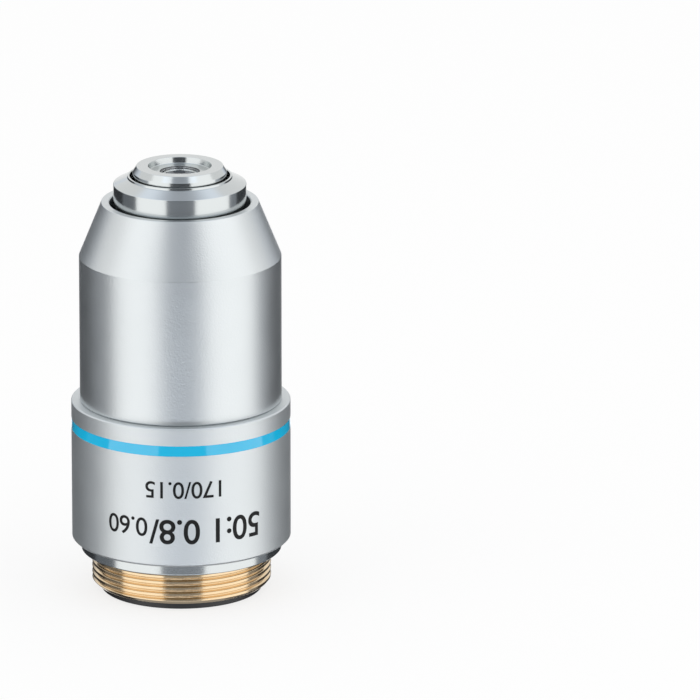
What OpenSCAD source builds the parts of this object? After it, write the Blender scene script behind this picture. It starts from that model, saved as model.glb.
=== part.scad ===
// Plan microscope objective with a spring-loaded lens tube, standing on its thread end.
// The optical axis is Z, the front lens looks up, and z = 0 is the rear face of the rear ring.
// Diameters build up from the widest lens: each wall, step and clearance is added to the one inside it.

/* [Mounting thread] */
// Major diameter of the mounting thread
thread_d = 20.2; // [19.6:0.05:21]
// Length from the shoulder seat to the end of the thread
thread_len = 3.8; // [3.2:0.1:4.8]
// Chamfer on the first turn of the thread
thread_chamfer = 0.4; // [0.2:0.05:0.6]
// Width of the run-out groove behind the thread
runout_w = 0.35; // [0.2:0.05:0.6]
// Radial depth of the run-out groove
runout_depth = 0.4; // [0.2:0.05:0.6]
// How far the shoulder that seats on the nosepiece stands out beyond thread and spigot
shoulder_step = 0.9; // [0.6:0.05:1.2]
// Thickness of the shoulder
shoulder_t = 1.3; // [1:0.1:2]
// Step round the thread that keeps the shoulder seat clear of burrs
seat_step = 0.1; // [0.05:0.05:0.2]
// Wall of the spigot that screws into the base collar
mount_spigot_wall = 1.73; // [1.4:0.01:2]
// Length of that spigot
mount_spigot_len = 4.5; // [3.5:0.1:5]
// Width of the ledge that ends the tube's travel, between the light path and the tube's outside
ledge_w = 0.5; // [0.3:0.05:0.8]
// Height of the ledge in the mount above the shoulder's top face
mount_ledge = 0.4; // [0.2:0.1:1]
// Radial room between the spigot and the sliding tube
mount_relief = 0.35; // [0.2:0.05:0.5]
// Room between the spigot's end and the bottom of its socket
socket_spare = 0.1; // [0.05:0.05:0.3]

/* [Rear ring] */
// How far the ring's flange covers the end of the thread
rear_flange_w = 1.3; // [1:0.05:1.6]
// Thickness of its flange below the thread
rear_ring_t = 0.8; // [0.6:0.05:1.2]
// Wall of the ring's screwed neck
rear_neck_wall = 1.28; // [1:0.01:1.6]
// Length of that neck inside the thread
rear_neck_len = 2.4; // [1.8:0.1:3]
// Width of the two spanner slots
spanner_w = 1.2; // [0.8:0.1:1.6]
// Depth of the two spanner slots
spanner_depth = 0.45; // [0.3:0.05:0.55]

/* [Base collar] */
// How far the collar stands out beyond the barrel
collar_step = 1; // [0.6:0.05:1.6]
// Height of the base collar
collar_len = 16.15; // [14.5:0.05:18]
// Chamfer along the collar's lower edge
collar_chamfer = 0.25; // [0.1:0.05:0.4]
// Chamfer along the collar's upper edge
collar_top_chamfer = 0.12; // [0.05:0.01:0.25]
// Width of the coloured magnification band
band_w = 1.2; // [0.8:0.05:1.6]
// Distance from the collar's top to the band's upper edge
band_drop = 2.0; // [1.5:0.1:3]
// Depth of the groove that holds the band
band_depth = 0.15; // [0.1:0.01:0.25]
// How far the band lies below the collar's surface
band_sink = 0.02; // [0.01:0.01:0.05]
// How much wider the barrel's screwed joint is than its spring bore
joint_step = 0.2; // [0.1:0.05:0.4]

/* [Outer barrel] */
// Wall of the barrel round the spring
barrel_wall = 1.35; // [1.1:0.05:1.8]
// Height of the barrel's straight part
barrel_len = 16.7; // [15:0.1:19]
// Height of the cone
cone_len = 6.25; // [5.6:0.05:7]
// Chamfer round the barrel's foot, which shows as a fine line on the collar
foot_chamfer = 0.12; // [0.05:0.01:0.2]
// Width of the flat rim round the mouth, inside the top of the cone
mouth_rim = 0.9; // [0.6:0.05:1.2]
// Radial gap between the mouth and the nose ring
mouth_gap = 0.45; // [0.3:0.05:0.6]
// Thickness of the barrel's front lip
mouth_t = 1.9; // [1.5:0.1:2.4]
// Radial width of the space that the spring works in
spring_room = 1.68; // [1.4:0.01:2]
// How much wider the bore behind the front lip is than the mouth
mouth_relief = 0.6; // [0.3:0.05:0.8]
// Distance of the stop face below the foot of the cone
stop_drop = 0.7; // [0.3:0.1:1.5]
// Chamfer on the edges of the mouth
mouth_chamfer = 0.12; // [0.05:0.01:0.2]

/* [Lens tube] */
// How far the lens tube can be pushed in
travel = 2; // [1.5:0.1:2.5]
// Play left at the end of that travel
travel_spare = 0.1; // [0.05:0.05:0.3]
// Wall of the tube where it is guided
tube_wall = 2.5; // [2:0.1:3]
// Radial play of the stop flange in the barrel
flange_play = 0.3; // [0.2:0.05:0.4]
// Thickness of the stop flange
tube_flange_t = 1.8; // [1.4:0.1:2.2]
// Wall of the screwed neck under the nose ring
neck_wall = 1.05; // [0.8:0.05:1.3]
// Depth of the guide slot in the tube wall
guide_slot_depth = 1.1; // [0.8:0.1:1.4]
// Distance from the tube's rear end to the ring that holds the lens stack
ring_inset = 3.2; // [2.4:0.1:4]

/* [Nose ring] */
// Wall of the nose ring round the tube's neck
nose_wall = 0.58; // [0.45:0.01:0.7]
// Height of the ring's straight wall above the barrel
nose_rise = 2.08; // [1.8:0.02:2.6]
// Length of the ring's skirt below the top of its wall
nose_skirt = 6; // [5.4:0.1:6.6]
// Height of the sloping face
nose_slope_h = 0.71; // [0.5:0.01:0.9]
// Width of the raised lip at the top of the slope
lip_w = 0.25; // [0.15:0.01:0.35]
// Height of the raised lip
lip_h = 0.23; // [0.1:0.01:0.35]
// Radial gap between the lip and the front lens mount
lip_gap = 0.3; // [0.15:0.05:0.35]

/* [Front lens mount] */
// How far the mount's clamped flange stands out beyond the part that shows
clamp_step = 1.5; // [1.2:0.05:1.8]
// Height of its wall above the lip
mount_rise = 0.43; // [0.3:0.01:0.7]
// Height of the bevel above that wall
bevel_h = 0.68; // [0.4:0.02:0.9]
// Width of the bevel
bevel_w = 0.48; // [0.3:0.01:0.7]
// Width of the dish's steep wall
dish_slope_w = 0.12; // [0.05:0.01:0.3]
// Width of the dish's flat floor
dish_floor_w = 1.18; // [0.8:0.02:1.4]
// Depth of the dish round the window
dish_depth = 0.66; // [0.4:0.02:0.8]
// Width of the step round the window
step_w = 0.2; // [0.1:0.05:0.4]
// Depth of that step
step_depth = 0.12; // [0.06:0.02:0.2]
// Diameter of the window in front of the lens
window_d = 4.1; // [3.7:0.1:4.4]
// Thickness of the metal round the window
window_t = 0.16; // [0.1:0.02:0.24]
// Thickness of the flange clamped by the nose ring
mount_flange_t = 0.9; // [0.7:0.05:1.2]
// Metal between that flange and the top of the nose ring's wall
clamp_cover = 1.05; // [0.9:0.05:1.3]
// Length of the spigot that centres the mount in the tube
mount_pilot_len = 1.2; // [0.9:0.1:1.5]
// How much wider the bore behind the front lens is than its socket
socket_relief = 0.58; // [0.4:0.01:0.8]
// Length of the close bore that steadies the front lens from behind
lens_socket_len = 1.1; // [0.8:0.1:1.4]

/* [Front lens] */
// How far the lens's flat front face reaches behind the metal round the window
flat_margin = 0.25; // [0.2:0.01:0.35]
// How much larger the radius of its ball is than that of the flat face
front_bulge = 0.3; // [0.2:0.02:0.5]

/* [Lens cells] */
// Wall of the cell round the widest lens
cell_wall = 1.165; // [1:0.005:1.4]
// Width of the lip that each lens seats on
seat_w = 0.5; // [0.3:0.05:0.7]
// Length of cell left behind each lens
cell_tail = 0.3; // [0.2:0.05:0.5]
// Thickness of the meniscus cell's front lip
meniscus_lip_t = 0.6; // [0.4:0.05:0.7]
// Thickness of the front lip of both doublet cells
doublet_lip_t = 1.2; // [1.1:0.05:1.4]
// Length of the short spacer between the doublet cells
short_spacer_len = 2.2; // [1.8:0.1:2.8]
// Wall of the short and the long spacer
spacer_wall = 1.1; // [0.7:0.1:1.4]
// Thickness of the field lens cell's front lip
field_lip_t = 1.1; // [1:0.05:1.3]
// Thickness of the black stop behind the field lens
stop_t = 0.8; // [0.5:0.1:1]
// Diameter of the hole in that stop
stop_hole_d = 6; // [5.6:0.1:6.6]
// Length of the ring that holds the lens stack
stack_ring_len = 1.8; // [1.4:0.1:2.4]
// Width of that ring's face
stack_ring_w = 1.2; // [1:0.05:1.5]

/* [Lenses] */
// Diameter of the meniscus lens
meniscus_d = 6.4; // [6:0.1:6.8]
// Centre thickness of the meniscus lens
meniscus_t = 2; // [1.8:0.05:2.05]
// Hollow front radius of the meniscus lens
meniscus_front = 9; // [8:0.5:12]
// Convex rear radius of the meniscus lens
meniscus_rear = 4.2; // [4:0.1:5]
// Diameter of the front doublet
front_doublet_d = 8.4; // [8:0.1:8.8]
// Convex radius of both faces of its crown lens
front_crown_radius = 10; // [8.6:0.2:12]
// Centre thickness of its crown lens
front_crown_t = 3; // [2.9:0.05:3.1]
// Centre thickness of its flint lens
front_flint_t = 1; // [0.8:0.05:1.05]
// Diameter of the rear doublet
rear_doublet_d = 9.2; // [8.8:0.1:9.4]
// Convex front radius of its crown lens
rear_crown_front = 12; // [10:0.2:14]
// Convex rear radius of its crown lens
rear_crown_rear = 11; // [9.4:0.2:13]
// Centre thickness of its crown lens
rear_crown_t = 3; // [2.9:0.05:3.05]
// Centre thickness of its flint lens
rear_flint_t = 1.1; // [0.9:0.05:1.2]
// Hollow rear radius of its flint lens
rear_flint_rear = 20; // [18:1:30]
// Diameter of the field lens
field_d = 7.4; // [7:0.1:7.6]
// Convex front radius of the field lens
field_front = 6; // [5.6:0.2:8]
// Hollow rear radius of the field lens
field_rear = 6; // [5.8:0.2:8]
// Centre thickness of the field lens
field_t = 3.6; // [3.4:0.05:3.8]

/* [Return spring] */
// Height of the space that the spring works in
spring_space = 9; // [8.6:0.1:9.6]
// Diameter of the spring wire
wire_d = 0.8; // [0.6:0.05:0.85]
// Turns between the closed ends
active_turns = 4; // [2:1:4]
// Thickness of the washer under the spring
washer_t = 0.3; // [0.2:0.05:0.4]
// Radial play of that washer
washer_clear = 0.1; // [0.05:0.05:0.2]

/* [Guide screw] */
// Diameter of the guide screw
guide_screw_d = 2; // [1.6:0.1:2.2]
// Diameter of its dog point
dog_d = 1.2; // [1:0.05:1.4]
// Distance of the screw below the end of the collar's spigot
guide_drop = 1.8; // [1.5:0.1:2.4]
// Width across the flats of its hexagon socket
socket_af = 0.9; // [0.7:0.1:1]
// Depth of the socket
socket_depth = 0.7; // [0.5:0.1:0.9]
// How far the screw's head lies below the spigot's surface
guide_sink = 0.1; // [0.05:0.05:0.2]
// Gap between the dog point and the bottom of the guide slot
dog_gap = 0.15; // [0.1:0.05:0.25]
// Length of slot left beyond each end of the dog point's path
slot_spare = 0.6; // [0.4:0.1:1]

/* [Fits] */
// Radial clearance of the sliding tube in its guide bore
slide_clear = 0.02; // [0.01:0.005:0.04]
// Radial clearance of screwed and centred joints
screw_clear = 0.02; // [0.01:0.005:0.04]
// Radial clearance of the lens cells in the tube
cell_clear = 0.015; // [0.01:0.005:0.03]
// Clearance round a lens in its cell
lens_clear = 0.02; // [0.01:0.005:0.04]
// Cement layer between the two lenses of a doublet
cement_t = 0.02; // [0.01:0.005:0.03]
// Gap between the spring's ends and their seats
spring_gap = 0.01; // [0.01:0.005:0.03]
// Small break on turned edges
edge_break = 0.1; // [0.05:0.01:0.15]

/* [Hidden] */
$fn = 128;
through = 1; // how far a cutting solid runs past the face it cuts

// Radii of the tube and the housing, from the widest lens out to the collar
widest_lens_r = max(meniscus_d, front_doublet_d, rear_doublet_d, field_d) / 2;
cell_r = widest_lens_r + lens_clear + cell_wall;
tube_bore_r = cell_r + cell_clear;
tube_r = tube_bore_r + tube_wall;
guide_bore_r = tube_r + slide_clear;
spring_bore_r = guide_bore_r + spring_room;
coil_r = (tube_r + spring_bore_r) / 2;
joint_r = spring_bore_r + joint_step;
barrel_r = spring_bore_r + barrel_wall;
collar_r = barrel_r + collar_step;

// Radii of the thread end
thread_r = thread_d / 2;
mount_bore_r = tube_r - ledge_w;
mount_relief_r = guide_bore_r + mount_relief;
mount_spigot_r = mount_relief_r + mount_spigot_wall;
shoulder_r = max(thread_r, mount_spigot_r) + shoulder_step;
rear_neck_r = mount_bore_r - screw_clear;
rear_ring_r = mount_bore_r + rear_flange_w;

// Radii of the nose: from the tube's bore out to the mouth, and in from its neck to the front lens mount
neck_r = tube_bore_r + neck_wall;
nose_r = neck_r + screw_clear + nose_wall;
mouth_r = nose_r + mouth_gap;
front_flange_r = neck_r - screw_clear;
mount_r = front_flange_r - clamp_step;
lip_hole_r = mount_r + lip_gap;

// Radii of the front lens mount, from the window out to the edge of the dish
window_r = window_d / 2;
flat_r = window_r + flat_margin;
front_radius = flat_r + front_bulge;
pocket_r = front_radius + lens_clear;
step_r = window_r + step_w;
dish_floor_r = step_r + dish_floor_w;
dish_r = dish_floor_r + dish_slope_w;

// Heights of the housing, from the rear ring's face up
z_thread_end = rear_ring_t;
z_seat = z_thread_end + thread_len;
z_collar = z_seat + shoulder_t;
z_ledge = z_collar + mount_ledge;
z_mount_top = z_collar + mount_spigot_len;
z_barrel = z_collar + collar_len;
z_band = z_barrel - band_drop;
z_cone = z_barrel + barrel_len;
z_mouth = z_cone + cone_len;
z_stop = z_cone - stop_drop;
z_flange = z_stop - tube_flange_t;
z_spring = z_flange - spring_space;
z_guide = z_spring - guide_drop;

// Heights of the nose, from the top of the barrel up
z_wall = z_mouth + nose_rise;
z_slope = z_wall + nose_slope_h;
z_lip = z_slope + lip_h;
z_bevel = z_lip + mount_rise;
z_land = z_bevel + bevel_h;
z_dish = z_land - dish_depth;
z_step = z_dish - step_depth;
z_front_lens = z_step - window_t;
z_front_centre = z_front_lens - sqrt(pow(front_radius, 2) - pow(flat_r, 2));
z_lens_socket = z_front_centre - lens_socket_len;
z_clamp = z_wall - clamp_cover;
z_tube_front = z_clamp - mount_flange_t;
z_skirt = z_wall - nose_skirt;

// Height of a spherical cap of this radius at a distance from the axis
function sag(radius, r) = radius - sqrt(radius * radius - r * r);

// How far a convex lens's vertex lies below its cell's front face, seated on the lip's inner edge
function below_face(lip_t, radius, d) = lip_t - sag(radius, d / 2 - seat_w) + lens_clear;

// Heights down the lens stack: cells and spacers by their front faces, lenses by their front vertices
z_meniscus_cell = z_tube_front - mount_pilot_len;
z_meniscus = z_meniscus_cell - meniscus_lip_t - lens_clear - sag(meniscus_front, meniscus_d / 2);
z_front_cell = z_meniscus - meniscus_t - cell_tail;
z_front_crown = z_front_cell - below_face(doublet_lip_t, front_crown_radius, front_doublet_d);
z_front_flint = z_front_crown - front_crown_t - cement_t;
z_short_spacer = z_front_flint - front_flint_t - cell_tail;
z_rear_cell = z_short_spacer - short_spacer_len;
z_rear_crown = z_rear_cell - below_face(doublet_lip_t, rear_crown_front, rear_doublet_d);
z_rear_flint = z_rear_crown - rear_crown_t - cement_t;
z_long_spacer = z_rear_flint - rear_flint_t - sag(rear_flint_rear, rear_doublet_d / 2) - cell_tail;

// Heights up from the tube's rear end; the long spacer takes up what is left between the two
z_tube_rear = z_ledge + travel + travel_spare;
z_stack_ring = z_tube_rear + ring_inset;
z_stop_plate = z_stack_ring + stack_ring_len;
z_field_seat = z_stop_plate + stop_t;
z_field = z_field_seat + cell_tail + sag(field_rear, field_d / 2) + field_t;
z_field_cell = z_field + below_face(field_lip_t, field_front, field_d);

// A body turned about the optical axis from [radius, height] points
module turned(points) {
    rotate_extrude() polygon(points);
}

// A plain ring turned about the optical axis
module ring(r_out, r_in, z_low, z_high) {
    turned([[r_in, z_low], [r_out, z_low], [r_out, z_high], [r_in, z_high]]);
}

// Two slots across a ring's rear face, for a pin spanner
module spanner_slots(r_out, z_low) {
    translate([-r_out - through, -spanner_w / 2, z_low - through])
        cube([2 * (r_out + through), spanner_w, spanner_depth + through]);
}

// Half section of a round bar or hole between two heights
module bar_section(r, z_low, z_high) {
    translate([0, z_low]) square([r, z_high - z_low]);
}

// Half section of all that lies behind a front face: radius above 0 is convex, below 0 hollow, and 0 flat
module behind_face(z, radius, r, depth) {
    if (radius > 0) {
        translate([0, z - radius]) circle(radius);
    } else if (radius < 0) {
        difference() {
            bar_section(r, z - depth, z + sag(-radius, r));
            translate([0, z - radius]) circle(-radius);
        }
    } else {
        bar_section(r, z - depth, z);
    }
}

// A lens with its front vertex at height z; each face has its own radius
module lens(d, z, front, thick, rear) {
    reach = 2 * thick + d;
    rotate_extrude() intersection() {
        bar_section(d / 2, z - reach, z + reach);
        behind_face(z, front, d / 2, reach);
        translate([0, z - thick]) mirror([0, 1]) behind_face(0, rear, d / 2, reach);
    }
}

// A lens cell: a ring that fits the tube, with a front lip for the lens to seat on
module cell(z_top, z_low, d, lip_t) {
    lens_bore_r = d / 2 + lens_clear;
    turned([
        [d / 2 - seat_w, z_top - lip_t], [d / 2 - seat_w, z_top], [cell_r, z_top],
        [cell_r, z_low], [lens_bore_r, z_low], [lens_bore_r, z_top - lip_t]
    ]);
}

// Brass mount: thread, shoulder and the spigot that screws into the base collar
module thread_mount() {
    root_r = thread_r - runout_depth;
    seat_r = thread_r + seat_step;
    color("goldenrod") turned([
        [mount_bore_r, z_thread_end],
        [thread_r - thread_chamfer, z_thread_end],
        [thread_r, z_thread_end + thread_chamfer],
        [thread_r, z_seat - runout_w],
        [root_r, z_seat - runout_w],
        [root_r, z_seat + seat_step],
        [seat_r, z_seat + seat_step],
        [seat_r, z_seat],
        [shoulder_r - edge_break, z_seat],
        [shoulder_r, z_seat + edge_break],
        [shoulder_r, z_collar],
        [mount_spigot_r, z_collar],
        [mount_spigot_r, z_mount_top],
        [mount_relief_r, z_mount_top],
        [mount_relief_r, z_ledge],
        [mount_bore_r, z_ledge]
    ]);
}

// Black ring at the rear end, screwed into the thread mount
module rear_ring() {
    bore_r = rear_neck_r - rear_neck_wall;
    color("dimgray") difference() {
        turned([
            [bore_r, 0],
            [rear_ring_r - edge_break, 0],
            [rear_ring_r, edge_break],
            [rear_ring_r, z_thread_end],
            [rear_neck_r, z_thread_end],
            [rear_neck_r, z_thread_end + rear_neck_len],
            [bore_r, z_thread_end + rear_neck_len]
        ]);
        spanner_slots(rear_ring_r, 0);
    }
}

// Lower housing: carries the markings and the band outside, and guides the lens tube inside
module base_collar() {
    socket_r = mount_spigot_r + screw_clear;
    socket_top = z_mount_top + socket_spare;
    color("silver") difference() {
        turned([
            [socket_r, z_collar],
            [collar_r - collar_chamfer, z_collar],
            [collar_r, z_collar + collar_chamfer],
            [collar_r, z_band - band_w],
            [collar_r - band_depth, z_band - band_w],
            [collar_r - band_depth, z_band],
            [collar_r, z_band],
            [collar_r, z_barrel - collar_top_chamfer],
            [collar_r - collar_top_chamfer, z_barrel],
            [joint_r, z_barrel],
            [joint_r, z_spring],
            [guide_bore_r, z_spring],
            [guide_bore_r, socket_top],
            [socket_r, socket_top]
        ]);
        translate([0, 0, z_guide]) rotate([-90, 0, 0])
            cylinder(d = guide_screw_d + 2 * screw_clear, h = joint_r + through);
    }
}

// Coloured band that fills the groove in the base collar
module magnification_band() {
    color("deepskyblue")
        ring(collar_r - band_sink, collar_r - band_depth, z_band - band_w, z_band);
}

// Upper housing: a screwed-on sleeve with a cone, which traps the spring and the lens tube
module outer_barrel() {
    screw_r = joint_r + screw_clear;
    front_bore_r = mouth_r + mouth_relief;
    color("silver") turned([
        [screw_r, z_barrel],
        [barrel_r - foot_chamfer, z_barrel],
        [barrel_r, z_barrel + foot_chamfer],
        [barrel_r, z_cone],
        [mouth_r + mouth_rim, z_mouth],
        [mouth_r + mouth_chamfer, z_mouth],
        [mouth_r, z_mouth - mouth_chamfer],
        [mouth_r, z_mouth - mouth_t],
        [front_bore_r, z_mouth - mouth_t],
        [front_bore_r, z_stop],
        [spring_bore_r, z_stop],
        [spring_bore_r, z_spring + washer_t],
        [screw_r, z_spring + washer_t]
    ]);
}

// Dog-point screw in the collar's spigot: it keeps the lens tube from turning
module guide_screw() {
    head_r = joint_r - guide_sink;
    dog_end = tube_r - guide_slot_depth + dog_gap;
    color("darkslategray") translate([0, 0, z_guide]) rotate([-90, 0, 0]) difference() {
        union() {
            translate([0, 0, guide_bore_r]) cylinder(d = guide_screw_d, h = head_r - guide_bore_r);
            translate([0, 0, dog_end]) cylinder(d = dog_d, h = head_r - dog_end);
        }
        translate([0, 0, head_r - socket_depth])
            cylinder(d = socket_af / cos(30), h = socket_depth + through, $fn = 6);
    }
}

// Thrust washer between the collar's spigot and the spring
module spring_washer() {
    color("gainsboro")
        ring(spring_bore_r - washer_clear, guide_bore_r + washer_clear, z_spring, z_spring + washer_t);
}

// Steel return spring with closed ends, swept round a helix whose pitch fades out at both ends
module return_spring() {
    sides = 8;
    steps = 28;
    total_turns = active_turns + 2;
    rings = round(steps * total_turns);
    low = z_spring + washer_t + wire_d / 2 + spring_gap;
    high = z_flange - wire_d / 2 - spring_gap;
    pitch = (high - low - 2 * wire_d) / active_turns;
    function height(turn) =
        turn < 1 ? low + wire_d * turn :
        turn > total_turns - 1 ? high - wire_d * (total_turns - turn) :
        low + wire_d + pitch * (turn - 1);
    points = [
        for (i = [0:rings], s = [0:sides - 1])
            let (turn = i / steps, a = 360 * turn, b = 360 * s / sides, r = coil_r + wire_d / 2 * cos(b))
                [r * cos(a), r * sin(a), height(turn) + wire_d / 2 * sin(b)]
    ];
    walls = [
        for (i = [0:rings - 1], s = [0:sides - 1])
            let (n = (s + 1) % sides)
                [i * sides + s, i * sides + n, (i + 1) * sides + n, (i + 1) * sides + s]
    ];
    ends = [[for (s = [sides - 1:-1:0]) s], [for (s = [0:sides - 1]) rings * sides + s]];
    color("lightsteelblue") polyhedron(points, concat(walls, ends), convexity = 10);
}

// Sliding tube: it holds the whole lens stack and stops against the barrel
module lens_tube() {
    slot_w = dog_d + 2 * slide_clear;
    slot_low = z_guide - dog_d / 2 - slot_spare;
    slot_high = z_guide + dog_d / 2 + travel + slot_spare;
    color("lightgray") difference() {
        turned([
            [tube_bore_r, z_tube_rear],
            [tube_r, z_tube_rear],
            [tube_r, z_flange],
            [spring_bore_r - flange_play, z_flange],
            [spring_bore_r - flange_play, z_stop],
            [nose_r, z_stop],
            [nose_r, z_skirt],
            [neck_r, z_skirt],
            [neck_r, z_tube_front],
            [tube_bore_r, z_tube_front]
        ]);
        translate([-slot_w / 2, tube_r - guide_slot_depth, slot_low])
            cube([slot_w, guide_slot_depth + through, slot_high - slot_low]);
    }
}

// Polished ring on the front of the lens tube: it clamps the front lens mount
module nose_ring() {
    screw_r = neck_r + screw_clear;
    color("whitesmoke") turned([
        [screw_r, z_skirt],
        [nose_r, z_skirt],
        [nose_r, z_wall],
        [lip_hole_r + lip_w, z_slope],
        [lip_hole_r + lip_w, z_lip],
        [lip_hole_r, z_lip],
        [lip_hole_r, z_clamp],
        [screw_r, z_clamp]
    ]);
}

// Polished mount of the front lens: bevelled outside and dished round the window
module front_lens_mount() {
    pilot_r = tube_bore_r - screw_clear;
    color("whitesmoke") rotate_extrude() difference() {
        polygon([
            [0, z_meniscus_cell],
            [pilot_r, z_meniscus_cell],
            [pilot_r, z_tube_front],
            [front_flange_r, z_tube_front],
            [front_flange_r, z_clamp],
            [mount_r, z_clamp],
            [mount_r, z_bevel],
            [mount_r - bevel_w, z_land],
            [dish_r, z_land],
            [dish_floor_r, z_dish],
            [step_r, z_dish],
            [step_r, z_step],
            [0, z_step]
        ]);
        bar_section(window_r, z_front_centre, z_land);
        bar_section(pocket_r, z_meniscus_cell, z_front_centre);
        bar_section(pocket_r + socket_relief, z_meniscus_cell - through, z_lens_socket);
        intersection() {
            translate([0, z_front_centre]) circle(pocket_r);
            bar_section(pocket_r, z_front_centre - pocket_r, z_front_lens);
        }
    }
}

// Front lens: more than half a ball, with its flat face to the specimen
module front_lens() {
    color("lightcyan") rotate_extrude() intersection() {
        translate([0, z_front_centre]) circle(front_radius);
        bar_section(front_radius, z_front_centre - front_radius, z_front_lens);
    }
}

module meniscus_cell() {
    color("darkgray") cell(z_meniscus_cell, z_front_cell, meniscus_d, meniscus_lip_t);
}

module meniscus_lens() {
    color("lightcyan") lens(meniscus_d, z_meniscus, -meniscus_front, meniscus_t, meniscus_rear);
}

module front_doublet_cell() {
    color("darkgray") cell(z_front_cell, z_short_spacer, front_doublet_d, doublet_lip_t);
}

module front_crown_lens() {
    color("lightcyan")
        lens(front_doublet_d, z_front_crown, front_crown_radius, front_crown_t, front_crown_radius);
}

module front_flint_lens() {
    color("paleturquoise") lens(front_doublet_d, z_front_flint, -front_crown_radius, front_flint_t, 0);
}

// Short spacer between the two doublet cells
module short_spacer() {
    color("darkgray") ring(cell_r, cell_r - spacer_wall, z_rear_cell, z_short_spacer);
}

module rear_doublet_cell() {
    color("darkgray") cell(z_rear_cell, z_long_spacer, rear_doublet_d, doublet_lip_t);
}

module rear_crown_lens() {
    color("lightcyan") lens(rear_doublet_d, z_rear_crown, rear_crown_front, rear_crown_t, rear_crown_rear);
}

module rear_flint_lens() {
    color("paleturquoise")
        lens(rear_doublet_d, z_rear_flint, -rear_crown_rear, rear_flint_t, -rear_flint_rear);
}

// Long spacer between the rear doublet and the field lens
module long_spacer() {
    color("darkgray") ring(cell_r, cell_r - spacer_wall, z_field_cell, z_long_spacer);
}

module field_lens_cell() {
    color("darkgray") cell(z_field_cell, z_field_seat, field_d, field_lip_t);
}

module field_lens() {
    color("lightcyan") lens(field_d, z_field, field_front, field_t, -field_rear);
}

// Black stop behind the field lens
module rear_stop() {
    color("dimgray") ring(cell_r, stop_hole_d / 2, z_stop_plate, z_field_seat);
}

// Screwed ring that holds the lens stack from behind
module stack_ring() {
    color("dimgray") difference() {
        ring(cell_r, cell_r - stack_ring_w, z_stack_ring, z_stop_plate);
        spanner_slots(cell_r, z_stack_ring);
    }
}

thread_mount();
rear_ring();
base_collar();
magnification_band();
outer_barrel();
guide_screw();
spring_washer();
return_spring();
lens_tube();
nose_ring();
front_lens_mount();
front_lens();
meniscus_cell();
meniscus_lens();
front_doublet_cell();
front_crown_lens();
front_flint_lens();
short_spacer();
rear_doublet_cell();
rear_crown_lens();
rear_flint_lens();
long_spacer();
field_lens_cell();
field_lens();
rear_stop();
stack_ring();
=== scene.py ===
from math import cos, pi, radians, sin, tan

import bmesh
import bpy
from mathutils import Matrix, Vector


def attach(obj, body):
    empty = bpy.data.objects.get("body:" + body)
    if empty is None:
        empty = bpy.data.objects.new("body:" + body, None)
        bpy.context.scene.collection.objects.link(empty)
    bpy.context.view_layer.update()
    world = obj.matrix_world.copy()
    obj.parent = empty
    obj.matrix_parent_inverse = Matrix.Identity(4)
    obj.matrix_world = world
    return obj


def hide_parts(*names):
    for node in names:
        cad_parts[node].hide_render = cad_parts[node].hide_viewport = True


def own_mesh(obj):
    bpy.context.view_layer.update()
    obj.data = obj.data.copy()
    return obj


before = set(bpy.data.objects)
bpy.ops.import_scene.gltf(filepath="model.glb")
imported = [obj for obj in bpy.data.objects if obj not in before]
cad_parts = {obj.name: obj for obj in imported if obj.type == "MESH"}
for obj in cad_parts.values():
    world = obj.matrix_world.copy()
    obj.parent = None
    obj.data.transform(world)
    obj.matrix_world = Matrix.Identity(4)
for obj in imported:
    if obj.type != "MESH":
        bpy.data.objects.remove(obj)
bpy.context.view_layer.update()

MM = 0.001
SEGMENTS = 256

# Softened corners: steps of an arc, its largest share of an edge, and how far out a point holds the edge
ARC_STEPS = 4
ARC_SHARE = 0.3
HOLD = 1.4

# Mounting thread: 36 turns to the inch. The standard form is 0.45 mm deep; this one is shallower, to bring
# its lightness nearer to the photograph's. Crest and root are flat, as shares of the pitch.
THREAD_R = 10.1
THREAD_PITCH = 25.4 / 36
THREAD_DEPTH = 0.25
CREST_SHARE = 0.37
ROOT_SHARE = 0.09
THREAD_END = 0.8
THREAD_CHAMFER = 0.4
RUNOUT_LOW = 4.25
SEAT = 4.6
THREAD_RINGS = 132
CHAMFER_RINGS = 8

# Collar, band and numerals; the collar is turned a hair smaller, so that the paint stands on it
COLLAR_R = 12.335
PAINT_R = 12.348
BAND_LOW = 18.85
BAND_HIGH = 20.05

# Return spring
COIL_R = 9.15
WIRE_D = 0.8
ACTIVE_TURNS = 4
CLOSING_TURNS = 2
POINTS_PER_TURN = 64
WIRE_SIDES = 14
SPRING_FOOT = 27.56
SPRING_HEAD = 36.24

# Spanner slot across the rear ring
SLOT_W = 1.2
SLOT_DEPTH = 0.45
MILL_LENGTH = 24

# Spherical pocket of the front lens
LENS_CENTRE = 46.978
POCKET_R = 2.62

# Figures: a capital's share of the font size, letter spacing, and the strips in mm bent round the collar
CAPITAL_SHARE = 0.69
LETTER_SPACING = 0.97
BEND_STEP = 0.4
BEND_STEPS = 40

# Photograph's view, in metres and millimetres of focal length
ELEVATION = radians(16.4)
DISTANCE = 1.15
LENS = 526.6
AIM = Vector((0.01902, 0, 0.02763))

# Studio, in metres: distances from the optical axis, heights of the lamps, half sizes of level squares
CARD_DISTANCE = 0.55
LAMP_DISTANCE = 0.6
LAMP_LOW = -0.7
LAMP_HIGH = 0.8
LEVEL_CARD_HALF = 0.7
FLOOR_HALF = 4
FLOOR_HEIGHT = -0.00002
LAMP_RADIANCE = 0.43
CARD_TINT = (0.94, 1.0, 1.1)

# How far the floor is lifted to pure white where the camera sees it
FLOOR_LIFT = 0.75


def linear(hex_colour):
    """Scene-linear RGBA of an sRGB colour written as #rrggbb."""
    values = [int(hex_colour[i : i + 2], 16) / 255 for i in (1, 3, 5)]
    return [v / 12.92 if v <= 0.04045 else ((v + 0.055) / 1.055) ** 2.4 for v in values] + [1.0]


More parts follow.
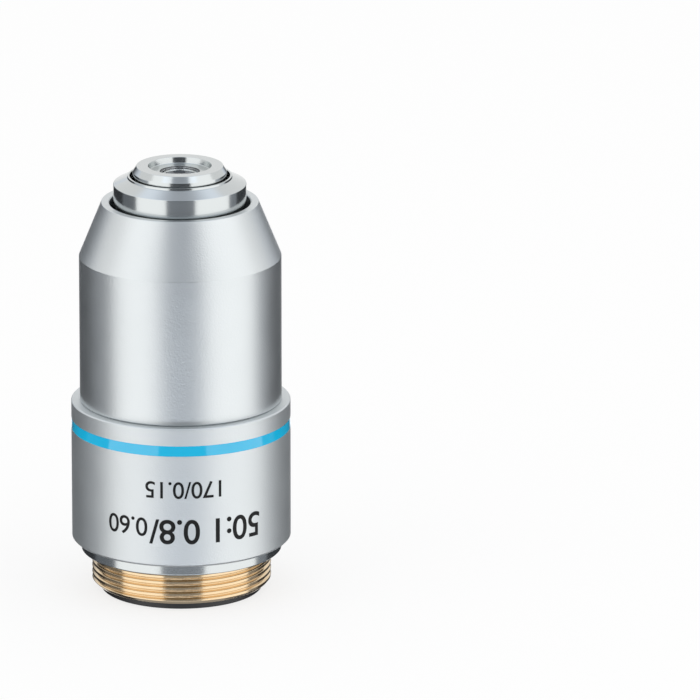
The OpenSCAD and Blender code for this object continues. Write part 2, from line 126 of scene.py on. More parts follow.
def add(tree, kind, inputs=None, **settings):
    """Adds a node with its settings; inputs give each socket, by name or number, a value or a link."""
    made = tree.nodes.new(kind)
    for name, value in settings.items():
        setattr(made, name, value)
    for name, value in (inputs or {}).items():
        if isinstance(value, bpy.types.NodeSocket):
            tree.links.new(value, made.inputs[name])
        else:
            made.inputs[name].default_value = value
    return made


def each_mm(size):
    """Texture scale that gives features of this size in millimetres on object coordinates."""
    return 1 / (size * MM)


def direction(azimuth):
    """Level direction at an angle in degrees to the right of the photograph's camera."""
    return Vector((sin(radians(azimuth)), -cos(radians(azimuth)), 0))


# Finishes


def new_finish(name, shader_values):
    """A material with one Principled shader, and its tree to add the surface's detail to."""
    material = bpy.data.materials.new(name)
    material.use_nodes = True
    tree = material.node_tree
    tree.nodes.clear()
    shader = add(tree, "ShaderNodeBsdfPrincipled", shader_values)
    add(tree, "ShaderNodeOutputMaterial", {"Surface": shader.outputs["BSDF"]})
    place = add(tree, "ShaderNodeTexCoord").outputs["Object"]
    return material, tree, shader, place


def turned_place(tree, place):
    """Radius and height of a point: noise on them makes rings round the axis, as a turning tool does."""
    parts = add(tree, "ShaderNodeSeparateXYZ", {0: place})
    flat = add(tree, "ShaderNodeCombineXYZ", {0: parts.outputs[0], 1: parts.outputs[1]})
    radius = add(tree, "ShaderNodeVectorMath", {0: flat.outputs[0]}, operation="LENGTH")
    return add(tree, "ShaderNodeCombineXYZ", {0: radius.outputs["Value"], 2: parts.outputs[2]}).outputs[0]


def satin_chrome(name, softness):
    # Satin chrome plate over a blasted surface: a soft broad sheen with a very fine grain.
    # The real grit of about 0.05 mm is drawn at 0.2 mm, or it would not show.
    material, tree, shader, place = new_finish(name, {"Base Color": linear("#cfd3d4"), "Metallic": 1.0})
    grit = add(tree, "ShaderNodeTexNoise", {"Vector": place, "Scale": each_mm(0.2), "Detail": 2.0})
    clouds = add(tree, "ShaderNodeTexNoise", {"Vector": place, "Scale": each_mm(3.5), "Detail": 3.0})
    mixed = add(tree, "ShaderNodeMath", {0: clouds.outputs["Fac"], 1: 0.06}, operation="MULTIPLY")
    rough = add(tree, "ShaderNodeMath", {0: mixed.outputs[0], 1: softness}, operation="ADD")
    tree.links.new(rough.outputs[0], shader.inputs["Roughness"])
    bump = add(
        tree, "ShaderNodeBump", {"Height": grit.outputs["Fac"], "Strength": 1.0, "Distance": 0.018 * MM}
    )
    tree.links.new(bump.outputs[0], shader.inputs["Normal"])
    return material


def polished_chrome():
    # Chrome plate on a finely turned and polished face: clear reflections with slightly soft edges and
    # faint tool rings
    material, tree, shader, place = new_finish(
        "polished chrome, turned", {"Base Color": linear("#c4c8c8"), "Metallic": 1.0, "Roughness": 0.17}
    )
    rings = add(
        tree, "ShaderNodeTexNoise",
        {"Vector": turned_place(tree, place), "Scale": each_mm(0.12), "Detail": 1.0},
    )
    bump = add(
        tree, "ShaderNodeBump", {"Height": rings.outputs["Fac"], "Strength": 0.3, "Distance": 0.0012 * MM}
    )
    tree.links.new(bump.outputs[0], shader.inputs["Normal"])
    return material


def bright_brass():
    # Bare brass cut with a threading tool: warm and bright, a little browner where hands have dulled it
    material, tree, shader, place = new_finish("brass, turned", {"Metallic": 1.0})
    dulling = add(tree, "ShaderNodeTexNoise", {"Vector": place, "Scale": each_mm(1.8), "Detail": 4.0})
    tone = add(
        tree, "ShaderNodeMix", {0: dulling.outputs["Fac"], 6: linear("#e2cba8"), 7: linear("#d9be98")},
        data_type="RGBA",
    )
    tree.links.new(tone.outputs[2], shader.inputs["Base Color"])
    spread = add(tree, "ShaderNodeMath", {0: dulling.outputs["Fac"], 1: 0.10}, operation="MULTIPLY")
    rough = add(tree, "ShaderNodeMath", {0: spread.outputs[0], 1: 0.10}, operation="ADD")
    tree.links.new(rough.outputs[0], shader.inputs["Roughness"])
    rings = add(
        tree, "ShaderNodeTexNoise",
        {"Vector": turned_place(tree, place), "Scale": each_mm(0.06), "Detail": 1.0},
    )
    bump = add(
        tree, "ShaderNodeBump", {"Height": rings.outputs["Fac"], "Strength": 0.4, "Distance": 0.003 * MM}
    )
    tree.links.new(bump.outputs[0], shader.inputs["Normal"])
    return material


def grained(name, colour, metallic, low, high, grain, depth):
    # Shared by the plain finishes: roughness drifts between two values, and a fine grain breaks the sheen
    material, tree, shader, place = new_finish(name, {"Base Color": linear(colour), "Metallic": metallic})
    drift = add(tree, "ShaderNodeTexNoise", {"Vector": place, "Scale": each_mm(2.5), "Detail": 3.0})
    rough = add(tree, "ShaderNodeMapRange", {0: drift.outputs["Fac"], 3: low, 4: high})
    tree.links.new(rough.outputs[0], shader.inputs["Roughness"])
    fine = add(tree, "ShaderNodeTexNoise", {"Vector": place, "Scale": each_mm(grain), "Detail": 2.0})
    bump = add(
        tree, "ShaderNodeBump", {"Height": fine.outputs["Fac"], "Strength": 0.5, "Distance": depth * MM}
    )
    tree.links.new(bump.outputs[0], shader.inputs["Normal"])
    return material


def blue_enamel():
    # Stoved enamel in a groove: a full light blue under a hard gloss that mirrors the lamps
    material, tree, shader, place = new_finish(
        "blue enamel, gloss",
        {"Roughness": 0.12, "IOR": 1.55, "Coat Weight": 0.6, "Coat Roughness": 0.03, "Coat IOR": 1.6},
    )
    drift = add(tree, "ShaderNodeTexNoise", {"Vector": place, "Scale": each_mm(1.2), "Detail": 2.0})
    tone = add(
        tree, "ShaderNodeMix", {0: drift.outputs["Fac"], 6: linear("#00a9d4"), 7: linear("#00b0da")},
        data_type="RGBA",
    )
    tree.links.new(tone.outputs[2], shader.inputs["Base Color"])
    wave = add(
        tree, "ShaderNodeBump", {"Height": drift.outputs["Fac"], "Strength": 0.4, "Distance": 0.004 * MM}
    )
    tree.links.new(wave.outputs[0], shader.inputs["Normal"])
    return material


def filling_paint():
    # Black paint rubbed into the engraved figures: nearly matt, and a little uneven
    material, tree, shader, place = new_finish(
        "black filling paint", {"Base Color": linear("#040405"), "Roughness": 0.6, "Specular IOR Level": 0.3}
    )
    speck = add(tree, "ShaderNodeTexNoise", {"Vector": place, "Scale": each_mm(0.2), "Detail": 2.0})
    bump = add(
        tree, "ShaderNodeBump", {"Height": speck.outputs["Fac"], "Strength": 0.4, "Distance": 0.005 * MM}
    )
    tree.links.new(bump.outputs[0], shader.inputs["Normal"])
    return material


def optical_glass(name, colour, ior):
    # Polished optical glass: clear, with the faint uneven bloom of its coating in the gloss
    material, tree, shader, place = new_finish(name, {
        "Base Color": linear(colour), "Transmission Weight": 1.0, "IOR": ior,
        "Specular Tint": linear("#cfd6ff"),
    })
    bloom = add(tree, "ShaderNodeTexNoise", {"Vector": place, "Scale": each_mm(0.5), "Detail": 3.0})
    rough = add(tree, "ShaderNodeMapRange", {0: bloom.outputs["Fac"], 1: 0.35, 2: 0.75, 3: 0.0, 4: 0.06})
    tree.links.new(rough.outputs[0], shader.inputs["Roughness"])
    return material


# Barrel: even bright silver with wide soft reflections
SATIN = satin_chrome("satin chrome, finely blasted", 0.34)
# Collar: the same silver, a little duller
SOFT_SATIN = satin_chrome("satin chrome, blasted", 0.43)
CHROME = polished_chrome()
BRASS = bright_brass()
# Deep black with a satin sheen
ANODISED = grained("aluminium, satin black anodised", "#151414", 0.0, 0.32, 0.46, 0.12, 0.006)
ENAMEL = blue_enamel()
PAINT = filling_paint()
# Painted shade: a dark grey line round the window, standing in for the shadow at its edge
SHADE_LINE_GREY = grained("painted shade line, dark grey", "#3d3c3f", 0.0, 0.3, 0.5, 0.15, 0.006)
# Cool bright metal with narrow highlights
STEEL = grained("spring steel, bright drawn", "#b4b5ba", 1.0, 0.18, 0.3, 0.1, 0.003)
# Warm pale metal, smooth
NICKEL = grained("nickel plated brass, turned", "#cfc9bb", 1.0, 0.2, 0.3, 0.1, 0.004)
# Matt brownish black that gives almost nothing back
BLACKENED = grained("brass, chemically blackened", "#1a1814", 0.6, 0.5, 0.7, 0.15, 0.01)
# Clear, with a trace of blue
CROWN = optical_glass("crown glass, coated", "#f4fafa", 1.52)
# Clear, with a trace of green and stronger bending
FLINT = optical_glass("flint glass, coated", "#f3f8f1", 1.64)


# Turned pieces


def softened(corners):
    """Outline whose [radius, height, cut] corners become small arcs, each held by a point on either side."""
    points = []
    for k, (r, z, cut) in enumerate(corners):
        here = Vector((r, z))
        if not cut:
            points.append(here)
            continue
        last = Vector(corners[k - 1][:2]) - here
        following = Vector(corners[(k + 1) % len(corners)][:2]) - here
        cut = min(cut, ARC_SHARE * last.length, ARC_SHARE * following.length)
        start, end = here + last.normalized() * cut, here + following.normalized() * cut
        points.append(here + last.normalized() * cut * HOLD)
        for s in range(ARC_STEPS + 1):
            t = s / ARC_STEPS
            points.append(start * (1 - t) ** 2 + here * 2 * t * (1 - t) + end * t**2)
        points.append(here + following.normalized() * cut * HOLD)
    return points


def new_piece(name, data):
    """Puts a mesh, curve, lamp or camera into the scene as an object."""
    piece = bpy.data.objects.new(name, data)
    bpy.context.collection.objects.link(piece)
    return piece


def settle(piece):
    """Keeps what a piece's modifiers make of it as its plain mesh."""
    bpy.context.view_layer.update()
    finished = bpy.data.meshes.new_from_object(piece.evaluated_get(bpy.context.evaluated_depsgraph_get()))
    piece.modifiers.clear()
    piece.data = finished


def turned(name, corners):
    """Closed mesh of a closed outline in millimetres, turned once about the optical axis."""
    outline = softened(corners)
    count = len(outline)
    points = [
        (p.x * cos(a) * MM, p.x * sin(a) * MM, p.y * MM)
        for a in (2 * pi * j / SEGMENTS for j in range(SEGMENTS))
        for p in outline
    ]
    faces = [
        (j * count + i, n * count + i, n * count + k, j * count + k)
        for j in range(SEGMENTS)
        for n in [(j + 1) % SEGMENTS]
        for i in range(count)
        for k in [(i + 1) % count]
    ]
    mesh = bpy.data.meshes.new(name)
    mesh.from_pydata(points, [], faces)
    mesh.shade_smooth()
    return mesh


def fit(piece, body, slot, *nodes):
    """Hands a finished piece to its body, in place of the CAD nodes that it stands for."""
    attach(piece, body)
    if nodes:
        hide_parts(*nodes)
    return piece


def turned_piece(node, body, slot, material, corners):
    """Turned piece that stands for one CAD node."""
    mesh = turned(node + "_turned", corners)
    mesh.materials.append(material)
    return fit(new_piece(node + "_turned", mesh), body, slot, node)


turned_piece("base_collar", "housing", "satin_chrome", SOFT_SATIN, [
    (10.42, 5.9, 0.05), (12.085, 5.9, 0.04), (COLLAR_R, 6.15, 0.06), (COLLAR_R, BAND_LOW, 0.015),
    (12.2, BAND_LOW, 0.01), (12.2, BAND_HIGH, 0.01), (COLLAR_R, BAND_HIGH, 0.015), (COLLAR_R, 21.93, 0.04),
    (12.215, 22.05, 0.04), (10.2, 22.05, 0.05), (10.2, 27.25, 0.05), (8.32, 27.25, 0.05),
    (8.32, 10.5, 0.05), (10.42, 10.5, 0.05),
])
turned_piece("magnification_band", "housing", "blue_enamel", ENAMEL, [
    (12.2, BAND_LOW, 0.01), (12.33, BAND_LOW, 0.01), (12.318, 19.2, 0.1), (12.318, 19.7, 0.1),
    (12.33, BAND_HIGH, 0.01), (12.2, BAND_HIGH, 0.01),
])
turned_piece("outer_barrel", "housing", "satin_chrome", SATIN, [
    (10.22, 22.05, 0.05), (11.23, 22.05, 0.03), (11.35, 22.17, 0.04), (11.35, 38.75, 0.03),
    (8.8, 45.0, 0.06), (8.02, 45.0, 0.04), (7.9, 44.88, 0.04), (7.9, 43.1, 0.05), (8.5, 43.1, 0.05),
    (8.5, 38.05, 0.05), (10, 38.05, 0.05), (10, 27.55, 0.05), (10.22, 27.55, 0.05),
])
turned_piece("nose_ring", "nose", "polished_chrome", CHROME, [
    (6.87, 41.08, 0.05), (7.45, 41.08, 0.05), (7.45, 47.08, 0.05), (5.88, 47.79, 0.02), (5.85, 48.02, 0.02),
    (5.63, 48.02, 0.03), (5.63, 46.03, 0.05), (6.87, 46.03, 0.05),
])
# Spherical seat of the front lens, in steps of eight degrees from the window's edge
pocket = [(POCKET_R * cos(a), LENS_CENTRE + POCKET_R * sin(a), 0) for a in map(radians, range(24, 0, -8))]
turned_piece("front_lens_mount", "nose", "polished_chrome", CHROME, [
    (3.2, 43.93, 0.05), (5.78, 43.93, 0.05), (5.78, 45.13, 0.05), (6.83, 45.13, 0.05), (6.83, 46.03, 0.05),
    (5.33, 46.03, 0.05), (5.33, 47.85, 0), (5.27, 48.45, 0.03), (4.85, 49.13, 0.04), (3.56, 49.13, 0.04),
    (3.4, 48.47, 0.05), (2.25, 48.47, 0.02), (2.25, 48.35, 0.02), (2.05, 48.35, 0.03), (2.05, 48.19, 0.02),
    (2.32, 48.19, 0.02), *pocket, (POCKET_R, LENS_CENTRE, 0.02), (POCKET_R, 45.878, 0.03),
    (3.2, 45.878, 0.03),
])

# Thin dark grey ring on the step round the window: painted shade, standing in for the shadow line at the
# window's edge
shade_ring = turned("front_lens_shade_ring", [
    (2.07, 48.345, 0), (2.245, 48.345, 0), (2.245, 48.372, 0), (2.18, 48.36, 0.01), (2.07, 48.353, 0.01),
])
# The ring's dark grey is painted shade, not a part of the mount
shade_ring.materials.append(SHADE_LINE_GREY)
fit(new_piece("front_lens_shade_ring", shade_ring), "nose", "black_anodised")

ring_mesh = turned("rear_ring_turned", [
    (6.5, 0, 0.05), (9.0, 0, 0.03), (9.1, 0.1, 0.03), (9.1, 0.8, 0.03), (7.78, 0.8, 0.05),
    (7.78, 3.2, 0.05), (6.5, 3.2, 0.05),
])
ring_mesh.materials.append(ANODISED)
rear_ring = new_piece("rear_ring_turned", ring_mesh)
# Slot for a pin spanner, milled across the ring's face
mill = new_piece("mill", bpy.data.meshes.new("mill"))
cut = bmesh.new()
bmesh.ops.create_cube(cut, size=1)
bmesh.ops.scale(cut, vec=Vector((MILL_LENGTH, SLOT_W, 2 * SLOT_DEPTH)) * MM, verts=cut.verts)
cut.to_mesh(mill.data)
cut.free()
milling = rear_ring.modifiers.new("slot", "BOOLEAN")
milling.operation = "DIFFERENCE"
milling.object = mill
settle(rear_ring)
bpy.data.objects.remove(mill)
fit(rear_ring, "housing", "black_anodised", "rear_ring")


# Shapes that follow a rule, made with Geometry Nodes


def new_rule(name, sizes):
    """A Geometry Nodes tree with named inputs for its sizes, and the sockets that they come from."""
    tree = bpy.data.node_groups.new(name, "GeometryNodeTree")
    tree.interface.new_socket("Geometry", in_out="INPUT", socket_type="NodeSocketGeometry")
    for size in sizes:
        tree.interface.new_socket(size, in_out="INPUT", socket_type="NodeSocketFloat")
    tree.interface.new_socket("Geometry", in_out="OUTPUT", socket_type="NodeSocketGeometry")
    return tree, add(tree, "NodeGroupInput").outputs


def made_by(tree, name, mesh, sizes):
    """Runs a tree on a mesh with its sizes set, and keeps the result as a plain mesh."""
    piece = new_piece(name, mesh)
    modifier = piece.modifiers.new(tree.name, "NODES")
    modifier.node_group = tree
    for item in tree.interface.items_tree:
        if item.in_out == "INPUT" and item.name in sizes:
            modifier[item.identifier] = sizes[item.name]
    settle(piece)
    return piece


def thread_rule():
    """Cuts a right-handed thread into a turned blank: a point goes in to the thread's form, never out."""
    tree, size = new_rule("cut thread", ["Crest radius", "Depth", "Pitch", "Low", "High"])
    where = add(tree, "GeometryNodeInputPosition").outputs[0]
    x, y, z = add(tree, "ShaderNodeSeparateXYZ", {0: where}).outputs
    flat = add(tree, "ShaderNodeCombineXYZ", {0: x, 1: y}).outputs[0]
    radius = add(tree, "ShaderNodeVectorMath", {0: flat}, operation="LENGTH").outputs["Value"]
    angle = add(tree, "ShaderNodeMath", {0: y, 1: x}, operation="ARCTAN2").outputs[0]
    around = add(tree, "ShaderNodeMath", {0: angle, 1: 2 * pi}, operation="DIVIDE").outputs[0]
    pitches = add(tree, "ShaderNodeMath", {0: z, 1: size["Pitch"]}, operation="DIVIDE").outputs[0]
    turn = add(tree, "ShaderNodeMath", {0: pitches, 1: around}, operation="SUBTRACT").outputs[0]
    from_crest = add(tree, "ShaderNodeMath", {0: turn, 1: 0.5}, operation="PINGPONG").outputs[0]
    groove = add(
        tree, "ShaderNodeMapRange",
        {0: from_crest, 1: CREST_SHARE / 2, 2: (1 - ROOT_SHARE) / 2, 3: 0.0, 4: size["Depth"]},
    ).outputs[0]
    form = add(tree, "ShaderNodeMath", {0: size["Crest radius"], 1: groove}, operation="SUBTRACT").outputs[0]
    kept = add(tree, "ShaderNodeMath", {0: radius, 1: form}, operation="MINIMUM").outputs[0]
    shrink = add(tree, "ShaderNodeMath", {0: kept, 1: radius}, operation="DIVIDE").outputs[0]
    new_x = add(tree, "ShaderNodeMath", {0: x, 1: shrink}, operation="MULTIPLY").outputs[0]
    new_y = add(tree, "ShaderNodeMath", {0: y, 1: shrink}, operation="MULTIPLY").outputs[0]
    target = add(tree, "ShaderNodeCombineXYZ", {0: new_x, 1: new_y, 2: z}).outputs[0]
    above = add(tree, "ShaderNodeMath", {0: z, 1: size["Low"]}, operation="GREATER_THAN").outputs[0]
    below = add(tree, "ShaderNodeMath", {0: z, 1: size["High"]}, operation="LESS_THAN").outputs[0]
    between = add(tree, "ShaderNodeMath", {0: above, 1: below}, operation="MULTIPLY").outputs[0]
    cut = add(
        tree, "GeometryNodeSetPosition",
        {"Geometry": size["Geometry"], "Selection": between, "Position": target},
    )
    whole = add(tree, "GeometryNodeRealizeInstances", {0: cut.outputs[0]})
    brass = add(tree, "GeometryNodeSetMaterial", {"Geometry": whole.outputs[0], "Material": BRASS})
    # The shoulder above the thread is chrome plated
    shoulder = add(tree, "ShaderNodeMath", {0: z, 1: size["High"]}, operation="GREATER_THAN").outputs[0]
    plated = add(
        tree, "GeometryNodeSetMaterial",
        {"Geometry": brass.outputs[0], "Selection": shoulder, "Material": CHROME},
    )
    add(tree, "NodeGroupOutput", {0: plated.outputs[0]})
    return tree


def thread_blank():
    """Turned blank of the mount, with close rings where the thread is cut."""
    top = THREAD_END + THREAD_CHAMFER
    chamfer = [
        (THREAD_R - THREAD_CHAMFER * (1 - t / CHAMFER_RINGS),
         THREAD_END + THREAD_CHAMFER * t / CHAMFER_RINGS, 0)
        for t in range(CHAMFER_RINGS + 1)
    ]
    wall = [
        (THREAD_R, top + (RUNOUT_LOW - top) * t / THREAD_RINGS, 0)
        for t in range(1, THREAD_RINGS + 1)
    ]
    return turned("thread_mount_turned", [
        (7.8, THREAD_END, 0.05), *chamfer, *wall, (9.7, RUNOUT_LOW, 0.02), (9.7, 4.7, 0.02),
        (10.2, 4.7, 0.02), (10.2, SEAT, 0.02), (11.2, SEAT, 0.03), (11.3, 4.7, 0.03), (11.3, 5.9, 0.03),
        (10.4, 5.9, 0.03), (10.4, 10.4, 0.05), (8.67, 10.4, 0.05), (8.67, 6.3, 0.05), (7.8, 6.3, 0.05),
    ])


thread_mount = made_by(thread_rule(), "thread_mount_turned", thread_blank(), {
    "Crest radius": THREAD_R * MM, "Depth": THREAD_DEPTH * MM, "Pitch": THREAD_PITCH * MM,
    "Low": THREAD_END * MM, "High": (RUNOUT_LOW + 0.01) * MM,
})
fit(thread_mount, "housing", "bare_brass", "thread_mount")


def spring_rule():
    """Coil spring with closed ends, drawn along a line that is wound up about the optical axis."""
    tree, size = new_rule("wind spring", ["Coil radius", "Wire diameter", "Active turns", "Foot", "Head"])
    line = add(tree, "GeometryNodeCurvePrimitiveLine", {"Start": (0, 0, 0), "End": (0, 0, 1)})
    count = POINTS_PER_TURN * (ACTIVE_TURNS + CLOSING_TURNS)
    dense = add(tree, "GeometryNodeResampleCurve", {"Curve": line.outputs[0], "Count": count})
    part = add(tree, "GeometryNodeSplineParameter").outputs["Factor"]
    wire, active = size["Wire diameter"], size["Active turns"]
    turns = add(tree, "ShaderNodeMath", {0: active, 1: float(CLOSING_TURNS)}, operation="ADD").outputs[0]
    turn = add(tree, "ShaderNodeMath", {0: part, 1: turns}, operation="MULTIPLY").outputs[0]
    # One turn closes each end and rises by one wire; the active turns share the height that is left
    span = add(tree, "ShaderNodeMath", {0: size["Head"], 1: size["Foot"]}, operation="SUBTRACT").outputs[0]
    left = add(
        tree, "ShaderNodeMath", {0: wire, 1: -(CLOSING_TURNS + 1.0), 2: span}, operation="MULTIPLY_ADD"
    ).outputs[0]
    rise = add(tree, "ShaderNodeMath", {0: left, 1: active}, operation="DIVIDE").outputs[0]
    in_first = add(tree, "ShaderNodeMath", {0: turn, 1: 1.0}, operation="MINIMUM").outputs[0]
    first = add(tree, "ShaderNodeMath", {0: in_first, 1: wire}, operation="MULTIPLY").outputs[0]
    past_first = add(tree, "ShaderNodeMath", {0: turn, 1: 1.0}, operation="SUBTRACT").outputs[0]
    after_first = add(tree, "ShaderNodeMath", {0: past_first, 1: 0.0}, operation="MAXIMUM").outputs[0]
    in_active = add(tree, "ShaderNodeMath", {0: after_first, 1: active}, operation="MINIMUM").outputs[0]
    middle = add(tree, "ShaderNodeMath", {0: in_active, 1: rise}, operation="MULTIPLY").outputs[0]
    past_active = add(tree, "ShaderNodeMath", {0: after_first, 1: active}, operation="SUBTRACT").outputs[0]
    in_last = add(tree, "ShaderNodeMath", {0: past_active, 1: 0.0}, operation="MAXIMUM").outputs[0]
    last = add(tree, "ShaderNodeMath", {0: in_last, 1: wire}, operation="MULTIPLY").outputs[0]
    start = add(
        tree, "ShaderNodeMath", {0: wire, 1: 0.5, 2: size["Foot"]}, operation="MULTIPLY_ADD"
    ).outputs[0]
    lower = add(tree, "ShaderNodeMath", {0: start, 1: first}, operation="ADD").outputs[0]
    upper = add(tree, "ShaderNodeMath", {0: middle, 1: last}, operation="ADD").outputs[0]
    height = add(tree, "ShaderNodeMath", {0: lower, 1: upper}, operation="ADD").outputs[0]
    angle = add(tree, "ShaderNodeMath", {0: turn, 1: 2 * pi}, operation="MULTIPLY").outputs[0]
    level = []
    for operation in ("COSINE", "SINE"):
        share = add(tree, "ShaderNodeMath", {0: angle}, operation=operation).outputs[0]
        out = add(tree, "ShaderNodeMath", {0: share, 1: size["Coil radius"]}, operation="MULTIPLY")
        level.append(out.outputs[0])
    place = add(tree, "ShaderNodeCombineXYZ", {0: level[0], 1: level[1], 2: height}).outputs[0]
    wound = add(tree, "GeometryNodeSetPosition", {"Geometry": dense.outputs[0], "Position": place})
    wire_radius = add(tree, "ShaderNodeMath", {0: wire, 1: 0.5}, operation="MULTIPLY").outputs[0]
    section = add(
        tree, "GeometryNodeCurvePrimitiveCircle", {"Resolution": WIRE_SIDES, "Radius": wire_radius}
    )
    drawn = add(
        tree, "GeometryNodeCurveToMesh",
        {"Curve": wound.outputs[0], "Profile Curve": section.outputs[0], "Fill Caps": True},
    )
    smooth = add(tree, "GeometryNodeSetShadeSmooth", {0: drawn.outputs[0]})
    whole = add(tree, "GeometryNodeRealizeInstances", {0: smooth.outputs[0]})
    steel = add(tree, "GeometryNodeSetMaterial", {"Geometry": whole.outputs[0], "Material": STEEL})
    add(tree, "NodeGroupOutput", {0: steel.outputs[0]})
    return tree


spring = made_by(spring_rule(), "return_spring_wound", bpy.data.meshes.new("return_spring_wound"), {
    "Coil radius": COIL_R * MM, "Wire diameter": WIRE_D * MM, "Active turns": float(ACTIVE_TURNS),
    "Foot": SPRING_FOOT * MM, "Head": SPRING_HEAD * MM,
})
fit(spring, "housing", "steel", "return_spring")
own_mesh(spring)


# Figures on the collar, which read the right way up when the objective hangs in its nosepiece


def figures(name, text, height, weight, centre_angle, baseline):
    """Plain figures bent round the collar, upside down, on a baseline; sizes in mm, weight thickens them."""
    curve = bpy.data.curves.new(name, "FONT")
    curve.body = text
    curve.size = height / CAPITAL_SHARE
    curve.offset = weight
    curve.space_character = LETTER_SPACING
    curve.align_x = "CENTER"
    source = new_piece(name + "_flat", curve)
    bpy.context.view_layer.update()
    mesh = bpy.data.meshes.new_from_object(source.evaluated_get(bpy.context.evaluated_depsgraph_get()))
    bpy.data.objects.remove(source)
    mesh.name = name
    shape = bmesh.new()
    shape.from_mesh(mesh)
    for step in range(-BEND_STEPS, BEND_STEPS + 1):
        everything = shape.verts[:] + shape.edges[:] + shape.faces[:]
        place = (step * BEND_STEP, 0, 0)
        bmesh.ops.bisect_plane(shape, geom=everything, plane_co=place, plane_no=(1, 0, 0))
    for vert in shape.verts:
        a = radians(centre_angle) - vert.co.x / PAINT_R
        vert.co = Vector((PAINT_R * sin(a), -PAINT_R * cos(a), baseline - vert.co.y)) * MM
    bmesh.ops.recalc_face_normals(shape, faces=shape.faces)
    middle = direction(centre_angle)
    if sum((face.normal.dot(middle) * face.calc_area() for face in shape.faces)) < 0:
        bmesh.ops.reverse_faces(shape, faces=shape.faces)
    shape.to_mesh(mesh)
    shape.free()
    mesh.materials.clear()
    mesh.materials.append(PAINT)
    return fit(new_piece(name, mesh), "housing", "black_anodised")


figures("figures_scale", "50:1 0.8/", 2.75, 0.045, 15.3, 11.4)
figures("figures_distance", "0.60", 2.1, 0.02, -28.5, 11.5)
figures("figures_tube", "170/0.15", 1.9, 0.02, 3, 15.85)


# Finishes of the CAD nodes that stay


def dress(material, *nodes):
    """Gives CAD nodes a richer material in place of their plain one."""
    for name in nodes:
        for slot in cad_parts[name].material_slots:
            slot.material = material


dress(STEEL, "guide_screw", "spring_washer")
dress(NICKEL, "lens_tube")
dress(
    BLACKENED, "meniscus_cell", "front_doublet_cell", "rear_doublet_cell", "field_lens_cell",
    "short_spacer", "long_spacer", "stack_ring",
)
dress(ANODISED, "rear_stop")
dress(CROWN, "front_lens", "meniscus_lens", "front_crown_lens", "rear_crown_lens")
dress(FLINT, "front_flint_lens", "rear_flint_lens", "field_lens")


# Studio: white surround, pale floor, two tall softboxes, and grey cards that give chrome its darker parts


def glowing(name, axis, stops):
    """Card that glows grey by itself; stops give its level at places along one of its axes, in metres."""
    material = bpy.data.materials.new(name)
    material.use_nodes = True
    tree = material.node_tree
    tree.nodes.clear()
    place = add(tree, "ShaderNodeTexCoord").outputs["Object"]
    along = add(tree, "ShaderNodeSeparateXYZ", {0: place}).outputs[axis]
    low, high = stops[0][0], stops[-1][0]
    share = add(tree, "ShaderNodeMapRange", {0: along, 1: low, 2: high})
    levels = add(tree, "ShaderNodeValToRGB", {0: share.outputs[0]})
    ramp = levels.color_ramp
    ramp.interpolation = "EASE"
    while len(ramp.elements) < len(stops):
        ramp.elements.new(1)
    for element, (at, level) in zip(ramp.elements, stops):
        element.position = (at - low) / (high - low)
        element.color = (*(level * part for part in CARD_TINT), 1)
    glow = add(tree, "ShaderNodeEmission", {"Color": levels.outputs[0]})
    add(tree, "ShaderNodeOutputMaterial", {"Surface": glow.outputs[0]})
    material.cycles.emission_sampling = "NONE"
    return material


def card(name, left, right, stops):
    """Upright grey card between two azimuths, seen only in reflections and glass; stops go by height."""
    middle, half = (left + right) / 2, (right - left) / 2
    out, side = direction(middle), direction(middle + 90)
    half_width = CARD_DISTANCE * tan(radians(half))
    low, high = stops[0][0], stops[-1][0]
    points = [
        out * CARD_DISTANCE + side * s * half_width + Vector((0, 0, z))
        for s, z in ((-1, low), (1, low), (1, high), (-1, high))
    ]
    reflected_only(new_mesh_piece(name, points, glowing(name, 2, stops)))


def level_square(half, height, facing):
    """Corners of a level square about the optical axis, facing up with 1 and down with -1."""
    return [
        Vector((x, y * facing, height))
        for x, y in ((-half, -half), (half, -half), (half, half), (-half, half))
    ]


def new_mesh_piece(name, points, material):
    """One flat face through the points, with its material."""
    mesh = bpy.data.meshes.new(name)
    mesh.from_pydata(points, [], [tuple(range(len(points)))])
    mesh.materials.append(material)
    return new_piece(name, mesh)


def reflected_only(piece):
    """Stage piece that neither the camera nor the floor nor a shadow shows."""
    piece.visible_camera = False
    piece.visible_diffuse = False
    piece.visible_shadow = False


def softbox(name, left, right):
    """Tall area lamp between two azimuths, facing the object."""
    middle, half = (left + right) / 2, (right - left) / 2
    lamp = bpy.data.lights.new(name, "AREA")
    lamp.shape = "RECTANGLE"
    lamp.size = 2 * LAMP_DISTANCE * tan(radians(half))
    lamp.size_y = LAMP_HIGH - LAMP_LOW
    lamp.energy = LAMP_RADIANCE * pi * lamp.size * lamp.size_y
    piece = new_piece(name, lamp)
    piece.location = direction(middle) * LAMP_DISTANCE + Vector((0, 0, (LAMP_LOW + LAMP_HIGH) / 2))
    piece.rotation_euler = (radians(90), 0, radians(middle))
    piece.visible_camera = False
    return piece


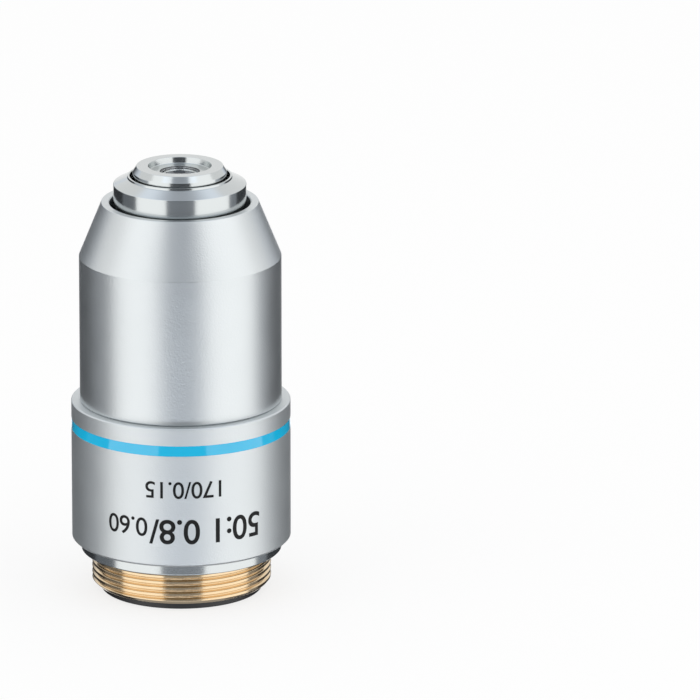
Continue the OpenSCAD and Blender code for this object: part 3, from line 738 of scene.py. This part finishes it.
softbox("left_softbox", -80.5, -22.5)
softbox("right_softbox", 27, 95.5)
card("front_card", -22.5, 27, (
    (-0.8, 0.3), (-0.6, 0.3), (-0.5, 2.7), (-0.31, 2.7), (-0.22, 0.3), (-0.1, 0.28), (0.0, 0.08),
    (0.18, 0.07), (0.32, 0.6), (0.42, 0.6), (0.52, 0.48), (0.8, 0.48),
))
card("left_card", -116, -80.5, ((-0.8, 0.14), (-0.05, 0.19), (0.01, 1.0)))
card("right_card", 95.5, 116, ((-0.8, 0.27), (-0.05, 0.29), (-0.01, 1.0)))
card("rear_left_card", -166, -116, ((-0.8, 0.03), (0.02, 0.05), (0.22, 1.0)))
card("rear_right_card", 116, 166, ((-0.8, 0.03), (0.0, 0.06), (0.12, 1.0)))
for name, height, facing, stops in (
    ("top_card", 0.9, 1, ((-0.7, 1.2), (-0.27, 1.2), (-0.04, 0.55), (0.04, 0.55), (0.27, 1.2), (0.7, 1.2))),
    ("under_card", -0.78, -1, ((-0.7, 0.4), (0.7, 0.4))),
):
    corners = level_square(LEVEL_CARD_HALF, height, facing)
    reflected_only(new_mesh_piece(name, corners, glowing(name, 0, stops)))

# Pale card: close to white for the camera, with a soft contact shadow, and clear when seen from below
floor_material = bpy.data.materials.new("floor, pale card")
floor_material.use_nodes = True
tree = floor_material.node_tree
tree.nodes.clear()
rays = add(tree, "ShaderNodeLightPath")
facing_away = add(tree, "ShaderNodeNewGeometry").outputs["Backfacing"]
paper = add(tree, "ShaderNodeBsdfDiffuse", {"Color": linear("#f2f2f2")})
white = add(tree, "ShaderNodeEmission", {"Strength": 1.0})
camera_ray = rays.outputs["Is Camera Ray"]
lifted = add(tree, "ShaderNodeMath", {0: camera_ray, 1: FLOOR_LIFT}, operation="MULTIPLY")
seen = add(tree, "ShaderNodeMixShader", {0: lifted.outputs[0], 1: paper.outputs[0], 2: white.outputs[0]})
clear = add(tree, "ShaderNodeBsdfTransparent")
two_sided = add(tree, "ShaderNodeMixShader", {0: facing_away, 1: seen.outputs[0], 2: clear.outputs[0]})
add(tree, "ShaderNodeOutputMaterial", {"Surface": two_sided.outputs[0]})
floor = new_mesh_piece("floor", level_square(FLOOR_HALF, FLOOR_HEIGHT, 1), floor_material)
floor.visible_glossy = False
floor.visible_shadow = False

scene = bpy.context.scene
scene.world = bpy.data.worlds.new("white surround")
scene.world.use_nodes = True
scene.world.cycles.sampling_method = "NONE"
tree = scene.world.node_tree
tree.nodes.clear()
white = add(tree, "ShaderNodeBackground", {"Color": (1, 1, 1, 1), "Strength": 1.0})
add(tree, "ShaderNodeOutputWorld", {0: white.outputs[0]})
scene.view_settings.view_transform = "Standard"

camera_data = bpy.data.cameras.new("camera")
camera_data.lens = LENS
camera_data.clip_start = 0.05
camera_data.clip_end = 20
camera = new_piece("camera", camera_data)
camera.location = AIM + Vector((0, -cos(ELEVATION), sin(ELEVATION))) * DISTANCE
camera.rotation_euler = (pi / 2 - ELEVATION, 0, 0)
scene.camera = camera
